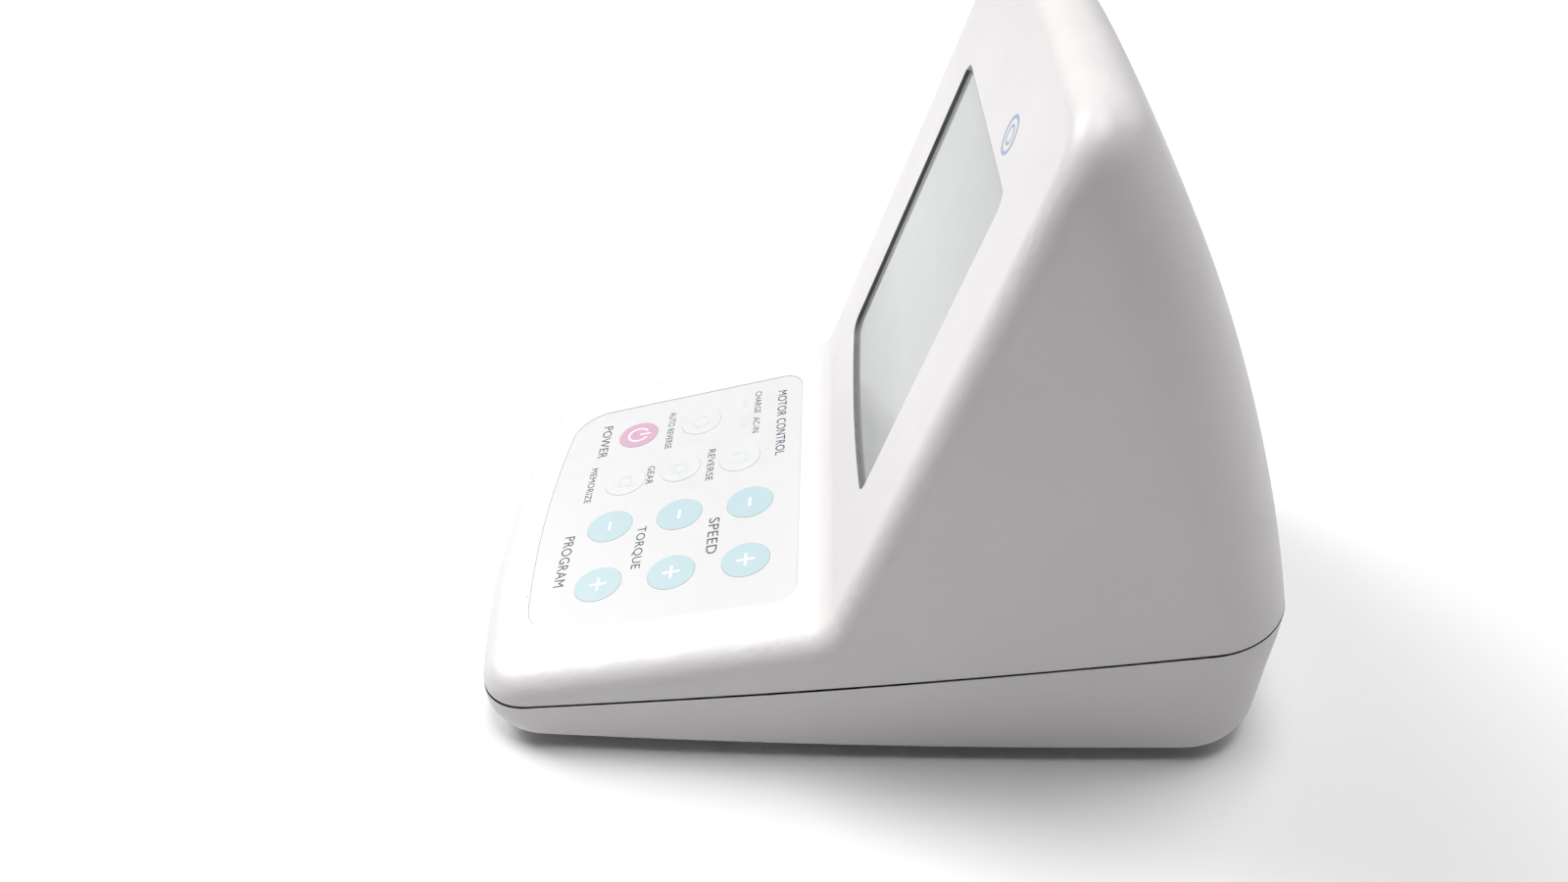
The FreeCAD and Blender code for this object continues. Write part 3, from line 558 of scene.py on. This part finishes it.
# ---------------------------------------------------------------- signs and lettering
class Sign:
    """A flat printed sign, built up from bars, arcs and arrowheads in one thin layer."""

    def __init__(self, thickness: float = INK_THICK) -> None:
        """Start an empty sign.

        Args:
            thickness: thickness of the layer.
        """
        self.bm = bmesh.new()
        self.thickness = thickness

    def bar(self, x: float, y: float, length: float, width: float, turn: float = 0.0) -> "Sign":
        """Add a round-cornered bar.

        Args:
            x: middle, across.
            y: middle, upwards.
            length: overall length.
            width: overall width.
            turn: angle in degrees.

        Returns:
            The sign.
        """
        spin = Matrix.Rotation(math.radians(turn), 4, "Z")
        size = Matrix.Diagonal((length, width, self.thickness, 1.0))
        place = Matrix.Translation((x, y, self.thickness / 2)) @ spin @ size
        made = bmesh.ops.create_cube(self.bm, size=1.0, matrix=place)
        upright = [e for e in {e for v in made["verts"] for e in v.link_edges}
                   if abs(e.verts[0].co.z - e.verts[1].co.z) > self.thickness / 2]
        bmesh.ops.bevel(self.bm, geom=upright, offset=min(length, width) * 0.3, offset_type="OFFSET",
                        affect="EDGES", segments=3, profile=0.5, material=-1)
        return self

    def cross(self, reach: float, width: float) -> "Sign":
        """Add a plus whose arms have the given reach and width."""
        made = bmesh.ops.create_grid(self.bm, x_segments=3, y_segments=3, size=reach)
        corners = [f for f in {f for v in made["verts"] for f in v.link_faces}
                   if min(abs(f.calc_center_median().x), abs(f.calc_center_median().y)) > reach * 0.5]
        inner = [v for v in made["verts"] if abs(v.co.x) < reach * 0.5 or abs(v.co.y) < reach * 0.5]
        for v in inner:
            v.co.x = math.copysign(width / 2, v.co.x) if abs(v.co.x) < reach * 0.5 else v.co.x
            v.co.y = math.copysign(width / 2, v.co.y) if abs(v.co.y) < reach * 0.5 else v.co.y
        bmesh.ops.delete(self.bm, geom=corners, context="FACES")
        self.thicken([f for f in self.bm.faces if abs(f.calc_center_median().z) < self.thickness / 10])
        return self

    def thicken(self, faces: list) -> None:
        """Give flat faces the layer's thickness, upwards."""
        made = bmesh.ops.extrude_face_region(self.bm, geom=faces, use_keep_orig=True)
        top = [v for v in made["geom"] if isinstance(v, bmesh.types.BMVert)]
        bmesh.ops.translate(self.bm, verts=top, vec=(0.0, 0.0, self.thickness))

    def arc(self, radius: float, width: float, start: float, end: float, steps: int = 24) -> "Sign":
        """Add a curved band about the sign's middle.

        Args:
            radius: radius of its middle line.
            width: width of the band.
            start: start angle in degrees.
            end: end angle in degrees; a full turn gives a closed ring.
            steps: number of segments.

        Returns:
            The sign.
        """
        size = Matrix.Diagonal((width, self.thickness, 1.0, 1.0))
        upright = Matrix.Rotation(math.pi / 2, 4, "X")
        stand = Matrix.Translation((radius, 0.0, self.thickness / 2)) @ upright @ size
        made = bmesh.ops.create_grid(self.bm, x_segments=1, y_segments=1, size=0.5, matrix=stand)
        first = Matrix.Rotation(math.radians(start), 4, "Z")
        bmesh.ops.transform(self.bm, matrix=first, verts=made["verts"])
        whole = end - start >= 360.0
        faces = list({f for v in made["verts"] for f in v.link_faces})
        edges = list({e for f in faces for e in f.edges})
        geom = edges if whole else faces + edges + made["verts"]
        bmesh.ops.spin(self.bm, geom=geom, cent=(0.0, 0.0, 0.0), axis=(0.0, 0.0, 1.0),
                       angle=math.radians(end - start), steps=steps, use_merge=whole, use_duplicate=False)
        if whole:
            bmesh.ops.delete(self.bm, geom=faces, context="FACES_ONLY")
        return self

    def arrow(self, x: float, y: float, size: float, turn: float) -> "Sign":
        """Add an arrowhead that points along the given angle.

        Args:
            x: middle, across.
            y: middle, upwards.
            size: reach of its corners.
            turn: pointing angle in degrees.

        Returns:
            The sign.
        """
        turned = Matrix.Rotation(math.radians(turn - 90.0), 4, "Z")
        place = Matrix.Translation((x, y, self.thickness / 2)) @ turned
        bmesh.ops.create_cone(self.bm, cap_ends=True, segments=3, radius1=size, radius2=size,
                              depth=self.thickness, matrix=place)
        return self

    def put(self, slope: Slope, x: float, up: float, height: float) -> bmesh.types.BMesh:
        """Move the sign onto a slope and return its bmesh.

        Args:
            slope: the plane that it lies on.
            x: its middle, across.
            up: its middle, up the slope.
            height: its underside, above the plane.

        Returns:
            The placed bmesh.
        """
        place = slope.matrix() @ Matrix.Translation((x, up, height))
        bmesh.ops.transform(self.bm, matrix=place, verts=self.bm.verts)
        return self.bm


def lettering(words: str, slope: Slope, start: float, end: float, middle: float, tall: float,
              height: float) -> bmesh.types.BMesh:
    """Make a line of printed capitals.

    Args:
        words: what it says.
        slope: the plane that it lies on.
        start: where it starts, across.
        end: where it ends, across.
        middle: middle of the capitals, up the slope.
        tall: height of the capitals.
        height: underside of the print, above the plane.

    Returns:
        The placed bmesh.
    """
    curve = bpy.data.curves.new("words", "FONT")
    curve.body = words
    curve.size = 1.0
    curve.extrude = 0.5
    curve.space_character = 1.05
    curve.resolution_u = 4
    holder = bpy.data.objects.new("words", curve)
    bpy.context.scene.collection.objects.link(holder)
    bpy.context.view_layer.update()
    mesh = bpy.data.meshes.new_from_object(holder.evaluated_get(bpy.context.evaluated_depsgraph_get()))
    bpy.data.objects.remove(holder)
    bpy.data.curves.remove(curve)
    bm = bmesh.new()
    bm.from_mesh(mesh)
    bpy.data.meshes.remove(mesh)
    bmesh.ops.remove_doubles(bm, verts=bm.verts, dist=0.0002)
    bmesh.ops.dissolve_degenerate(bm, edges=bm.edges, dist=0.0002)
    low = Vector(min(v.co[i] for v in bm.verts) for i in range(3))
    high = Vector(max(v.co[i] for v in bm.verts) for i in range(3))
    span = high - low
    fit = Matrix.Diagonal(((end - start) / span.x, tall / span.y, INK_THICK / span.z, 1.0))
    place = Matrix.Translation((start, middle - tall / 2, height)) @ fit @ Matrix.Translation(-low)
    bmesh.ops.transform(bm, matrix=slope.matrix() @ place, verts=bm.verts)
    return bm


# ---------------------------------------------------------------- sub-assemblies
@dataclass
class CaseShells:
    """The two case halves and the battery cover, given smooth-shaded copies."""

    smooth_angle: float = 28.0
    nodes: tuple = ("upper_case", "lower_case", "battery_cover")
    joint_height: float = 20.10 * MM
    joint_rise: float = 0.137
    gap: float = 0.55 * MM

    def build(self, looks: dict) -> None:
        """Dress the case halves.

        Args:
            looks: the finished materials by slot.
        """
        for node in self.nodes:
            skin = smooth_copy(node, node + "_skin", looks["case_white"], self.smooth_angle)
            if node == "lower_case":
                self.shade_joint(skin)

    def shade_joint(self, skin: bpy.types.Object) -> None:
        """Paint shade on the walls of the groove between the case halves: they get a near-black matt finish
        that stands for the shadow in the groove.

        Args:
            skin: the lower case's smooth copy.
        """
        skin.data.materials.append(SHADOWED.make())
        points = skin.data.vertices
        for face in skin.data.polygons:
            corners = [points[i].co for i in face.vertices]
            depths = [p.z - self.joint_height - self.joint_rise * p.y for p in corners]
            if min(depths) > -self.gap - 0.01 * MM:
                face.material_index = 1


@dataclass
class KeyPrint:
    """One key's place on the deck and the sign printed on it."""

    key: str
    x: float
    up: float
    sign: SignKind


@dataclass
class Keypad:
    """Keypad film with its printed words, and the signs on the keys."""

    round_sign: float = 1.8 * MM
    sign_width: float = 0.52 * MM
    soft_width: float = 0.42 * MM
    keys: list = field(default_factory=lambda: [
        KeyPrint("speed_plus", 25.0 * MM, 15.42 * MM, SignKind.PLUS),
        KeyPrint("speed_minus", 6.76 * MM, 15.42 * MM, SignKind.MINUS),
        KeyPrint("torque_plus", 25.0 * MM, 0.0, SignKind.PLUS),
        KeyPrint("torque_minus", 6.76 * MM, 0.0, SignKind.MINUS),
        KeyPrint("program_plus", 25.0 * MM, -15.42 * MM, SignKind.PLUS),
        KeyPrint("program_minus", 6.76 * MM, -15.42 * MM, SignKind.MINUS),
        KeyPrint("power", -25.6 * MM, -12.9 * MM, SignKind.POWER),
        KeyPrint("memorize", -8.2 * MM, -13.9 * MM, SignKind.MEMORIZE),
        KeyPrint("gear", -9.6 * MM, -1.3 * MM, SignKind.GEAR),
        KeyPrint("reverse", -9.5 * MM, 12.3 * MM, SignKind.REVERSE),
        KeyPrint("auto_reverse", -26.2 * MM, 2.2 * MM, SignKind.AUTO_REVERSE),
    ])
    words: tuple = (
        ("CHARGE", -34.4, -25.7, 15.6, 1.5),
        ("AC-IN", -24.0, -18.0, 15.5, 1.5),
        ("REVERSE", -14.5, -3.2, 5.7, 1.6),
        ("AUTO REVERSE", -32.3, -18.0, -5.1, 1.6),
        ("GEAR", -12.3, -5.8, -8.2, 1.6),
        ("MEMORIZE", -15.3, -2.8, -22.1, 1.6),
        ("SPEED", 10.1, 21.4, 8.0, 2.3),
        ("POWER", -31.4, -19.0, -21.0, 2.2),
        ("TORQUE", 8.8, 22.1, -8.1, 2.3),
        ("PROGRAM", 8.1, 23.8, -24.1, 2.3),
    )
    heading: tuple = ("MOTOR CONTROL", -32.9, -8.0, 21.4, 2.1)
    lamps: tuple = (("charge", -30.2 * MM, 12.6 * MM), ("mains", -22.0 * MM, 12.6 * MM))
    lamp_length: float = 2.6 * MM
    lamp_width: float = 1.3 * MM

    def draw(self, kind: SignKind) -> Sign:
        """Return the sign of one kind of key.

        Args:
            kind: which sign.

        Returns:
            The sign, drawn about its own middle.
        """
        sign = Sign()
        w = self.soft_width
        if kind is SignKind.PLUS:
            sign.cross(self.round_sign, self.sign_width)
        elif kind is SignKind.MINUS:
            sign.bar(0.0, 0.0, self.round_sign * 1.5, self.sign_width)
        elif kind is SignKind.POWER:
            sign.arc(2.35 * MM, w, 118.0, 422.0)
            sign.bar(0.0, 1.6 * MM, 2.6 * MM, w, 90.0)
        elif kind is SignKind.MEMORIZE:
            sign.bar(0.0, 1.3 * MM, 3.4 * MM, w).bar(0.0, -1.3 * MM, 3.4 * MM, w)
            sign.bar(-1.5 * MM, 0.0, 2.2 * MM, w, 90.0).bar(1.5 * MM, 0.0, 2.2 * MM, w, 90.0)
        elif kind is SignKind.GEAR:
            sign.arc(1.5 * MM, w * 1.3, 0.0, 360.0, 32)
            for k in range(8):
                a = math.radians(45.0 * k)
                sign.bar(2.1 * MM * math.cos(a), 2.1 * MM * math.sin(a), 0.7 * MM, w, 45.0 * k)
        elif kind is SignKind.REVERSE:
            sign.arc(1.8 * MM, w, -60.0, 200.0)
            sign.arrow(-1.75 * MM, -0.9 * MM, 0.8 * MM, 285.0)
        else:
            sign.arc(1.9 * MM, w, 20.0, 160.0).arc(1.9 * MM, w, 200.0, 340.0)
            sign.arrow(-1.85 * MM, 0.45 * MM, 0.7 * MM, 250.0)
            sign.arrow(1.85 * MM, -0.45 * MM, 0.7 * MM, 70.0)
        return sign

    def build(self, inks: dict) -> None:
        """Print the film and the keys.

        Args:
            inks: the printing inks.
        """
        for key in self.keys:
            ink = inks["faint"] if key.sign.slot() == "key_soft" else inks["white"]
            shape = self.draw(key.sign).put(DECK, key.x, key.up, KEY_TOP)
            finish_piece(shape, "sign_" + key.key, key.key, key.sign.slot(), ink)
        for name, x, up in self.lamps:
            shape = Sign().bar(0.0, 0.0, self.lamp_length, self.lamp_width).put(DECK, x, up, FILM_TOP)
            finish_piece(shape, "lamp_spot_" + name, "case", "film_white", inks["faint"])
        for words, start, end, middle, tall in self.words:
            shape = lettering(words, DECK, start * MM, end * MM, middle * MM, tall * MM, FILM_TOP)
            name = "print_" + words.lower().replace(" ", "_")
            finish_piece(shape, name, "case", "film_white", inks["dark"])
        words, start, end, middle, tall = self.heading
        shape = lettering(words, DECK, start * MM, end * MM, middle * MM, tall * MM, FILM_TOP)
        finish_piece(shape, "print_heading", "case", "film_white", inks["navy"])


@dataclass
class Display:
    """Dark band of painted shade on the wall of the display opening, and the plain rings printed above it.
    """

    half: float = 30.2 * MM
    low: float = 17.8 * MM
    low_middle: float = 15.9 * MM
    top: float = 81.4 * MM
    corner: float = 3.0 * MM
    depth: float = 0.8 * MM
    band: float = 0.1 * MM
    ring_x: float = 18.0 * MM
    ring_up: float = 86.8 * MM
    ring_radius: float = 3.1 * MM
    ring_width: float = 0.7 * MM
    inner_width: float = 0.5 * MM
    below_face: float = 0.04 * MM

    def outline(self, bm: bmesh.types.BMesh) -> list:
        """Add the opening's outline as a loop of edges.

        Args:
            bm: the bmesh to add it to.

        Returns:
            Its edges.
        """
        made = bmesh.ops.create_grid(bm, x_segments=24, y_segments=1, size=1.0)
        middle, reach = (self.top + self.low) / 2, (self.top - self.low) / 2
        for v in made["verts"]:
            sag = (self.low - self.low_middle) * (1.0 - v.co.x ** 2) if v.co.y < 0.0 else 0.0
            v.co = Vector((v.co.x * self.half, middle + v.co.y * reach - sag, 0.0))
        corners = [v for v in bm.verts if abs(abs(v.co.x) - self.half) < 0.001 * MM]
        bmesh.ops.dissolve_faces(bm, faces=list(bm.faces), use_verts=False)
        bmesh.ops.bevel(bm, geom=corners, offset=self.corner * 0.9, offset_type="OFFSET", affect="VERTICES",
                        segments=8, profile=0.5, material=-1)
        return list(bm.edges)

    def build(self, inks: dict) -> None:
        """Make the band of painted shade and the rings.

        Args:
            inks: the printing inks.
        """
        bm = bmesh.new()
        self.outline(bm)
        bmesh.ops.inset_region(bm, faces=list(bm.faces), thickness=self.band, depth=0.0,
                               use_boundary=True, use_even_offset=True)
        inner = max(bm.faces, key=lambda f: f.calc_area())
        bmesh.ops.delete(bm, geom=[inner], context="FACES_ONLY")
        made = bmesh.ops.extrude_face_region(bm, geom=list(bm.faces), use_keep_orig=True)
        lowered = [v for v in made["geom"] if isinstance(v, bmesh.types.BMVert)]
        bmesh.ops.translate(bm, verts=lowered, vec=(0.0, 0.0, -self.depth))
        place = FACE.matrix() @ Matrix.Translation((0.0, 0.0, -self.below_face))
        bmesh.ops.transform(bm, matrix=place, verts=bm.verts)
        # Painted shade: the band lines the opening's wall with a dark grey finish that stands for the shade
        # there.
        finish_piece(bm, "window_edge_shade_band", "case", "bezel_dark", OPENING_SHADE.make())
        ring = Sign().arc(self.ring_radius, self.ring_width, 0.0, 360.0, 64)
        ring.arc(self.ring_radius * 0.5, self.inner_width, 0.0, 360.0, 48)
        shape = ring.put(FACE, self.ring_x, self.ring_up, 0.0)
        finish_piece(shape, "face_ring", "case", "case_white", inks["pale_blue"])


@dataclass
class Studio:
    """Camera, table top and soft lights."""

    eye: tuple = (218.58 * MM, -10.88 * MM, 196.80 * MM)
    yaw: float = -1.661
    pitch: float = 36.157
    roll: float = -0.241
    lens: float = 29.855
    floor_size: float = 2.0
    floor_colour: tuple = (0.88, 0.88, 0.88)
    aim: tuple = (0.0, 0.0, 0.05)
    lamps: tuple = (
        ("key_light", (-0.80, -1.15, 1.25), 1.0, 29.5),
        ("top_light", (-0.12, 0.1, 1.80), 0.9, 24.0),
        ("rear_light", (-0.7, 1.15, 1.15), 0.9, 5.0),
    )
    ambient: float = 0.06
    surround: float = 0.95

    def camera(self) -> None:
        """Place the camera."""
        yaw, pitch, roll = (math.radians(a) for a in (self.yaw, self.pitch, self.roll))
        ahead = Vector((-math.cos(yaw) * math.cos(pitch), math.sin(yaw) * math.cos(pitch), -math.sin(pitch)))
        right = ahead.cross(Vector((0, 0, 1))).normalized()
        up = right.cross(ahead)
        right_r = math.cos(roll) * right + math.sin(roll) * up
        up_r = math.cos(roll) * up - math.sin(roll) * right
        turn = Matrix((right_r, up_r, -ahead)).transposed().to_4x4()
        data = bpy.data.cameras.new("camera")
        data.lens = self.lens
        data.sensor_width = 36.0
        data.clip_start = 0.01
        data.clip_end = 50.0
        cam = bpy.data.objects.new("camera", data)
        cam.matrix_world = Matrix.Translation(self.eye) @ turn
        bpy.context.scene.collection.objects.link(cam)
        bpy.context.scene.camera = cam

    def lamp(self, name: str, place: tuple, size: float, power: float) -> None:
        """Add a soft square light.

        Args:
            name: its name.
            place: where it hangs.
            size: length of its side.
            power: its power in watts.
        """
        data = bpy.data.lights.new(name, "AREA")
        data.shape = "SQUARE"
        data.size = size
        data.energy = power
        lamp = bpy.data.objects.new(name, data)
        lamp.location = place
        lamp.rotation_euler = (Vector(self.aim) - Vector(place)).to_track_quat("-Z", "Y").to_euler()
        bpy.context.scene.collection.objects.link(lamp)

    def build(self) -> None:
        """Make the table top, the lights and the pale surroundings."""
        bm = bmesh.new()
        bmesh.ops.create_grid(bm, x_segments=8, y_segments=8, size=self.floor_size / 2)
        mesh = bpy.data.meshes.new("table_top")
        bm.to_mesh(mesh)
        bm.free()
        mesh.materials.append(FloorPaint("table_paint", self.floor_colour).make())
        floor = bpy.data.objects.new("table_top", mesh)
        bpy.context.scene.collection.objects.link(floor)
        for name, place, size, power in self.lamps:
            self.lamp(name, place, size, power)
        self.surroundings()
        bpy.context.scene.view_settings.view_transform = "Standard"

    def surroundings(self) -> None:
        """Make a pale backdrop that lights the room only faintly."""
        world = bpy.data.worlds.new("surroundings")
        world.use_nodes = True
        nodes, links = world.node_tree.nodes, world.node_tree.links
        nodes["Background"].inputs["Strength"].default_value = self.ambient
        seen = nodes.new("ShaderNodeBackground")
        seen.inputs["Strength"].default_value = self.surround
        for lit in (nodes["Background"], seen):
            lit.inputs["Color"].default_value = (1.0, 1.0, 1.0, 1.0)
        rays, pick = nodes.new("ShaderNodeLightPath"), nodes.new("ShaderNodeMixShader")
        links.new(rays.outputs["Is Camera Ray"], pick.inputs[0])
        links.new(nodes["Background"].outputs[0], pick.inputs[1])
        links.new(seen.outputs[0], pick.inputs[2])
        links.new(pick.outputs[0], nodes["World Output"].inputs["Surface"])
        bpy.context.scene.world = world


def dress_nodes(looks: dict) -> None:
    """Give every CAD node the finish of its material slot.

    Args:
        looks: the finished materials by slot.
    """
    for part in frame["record"]["subparts"]:
        node = frame["nodes"][part["node"]]
        node.data.materials.clear()
        node.data.materials.append(looks[part["material_slot"]])


def main() -> None:
    """Build the unit's looks piece by piece."""
    logging.basicConfig(level=logging.INFO, format="%(name)s: %(message)s")
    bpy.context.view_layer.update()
    studio = Studio()
    studio.camera()
    studio.build()
    looks = {slot: finish.make() for slot, finish in FINISHES.items()}
    inks = {name: ink.make() for name, ink in PRINT.items()}
    dress_nodes(looks)
    CaseShells().build(looks)
    Keypad().build(inks)
    Display().build(inks)


if __name__ == "__main__":
    main()
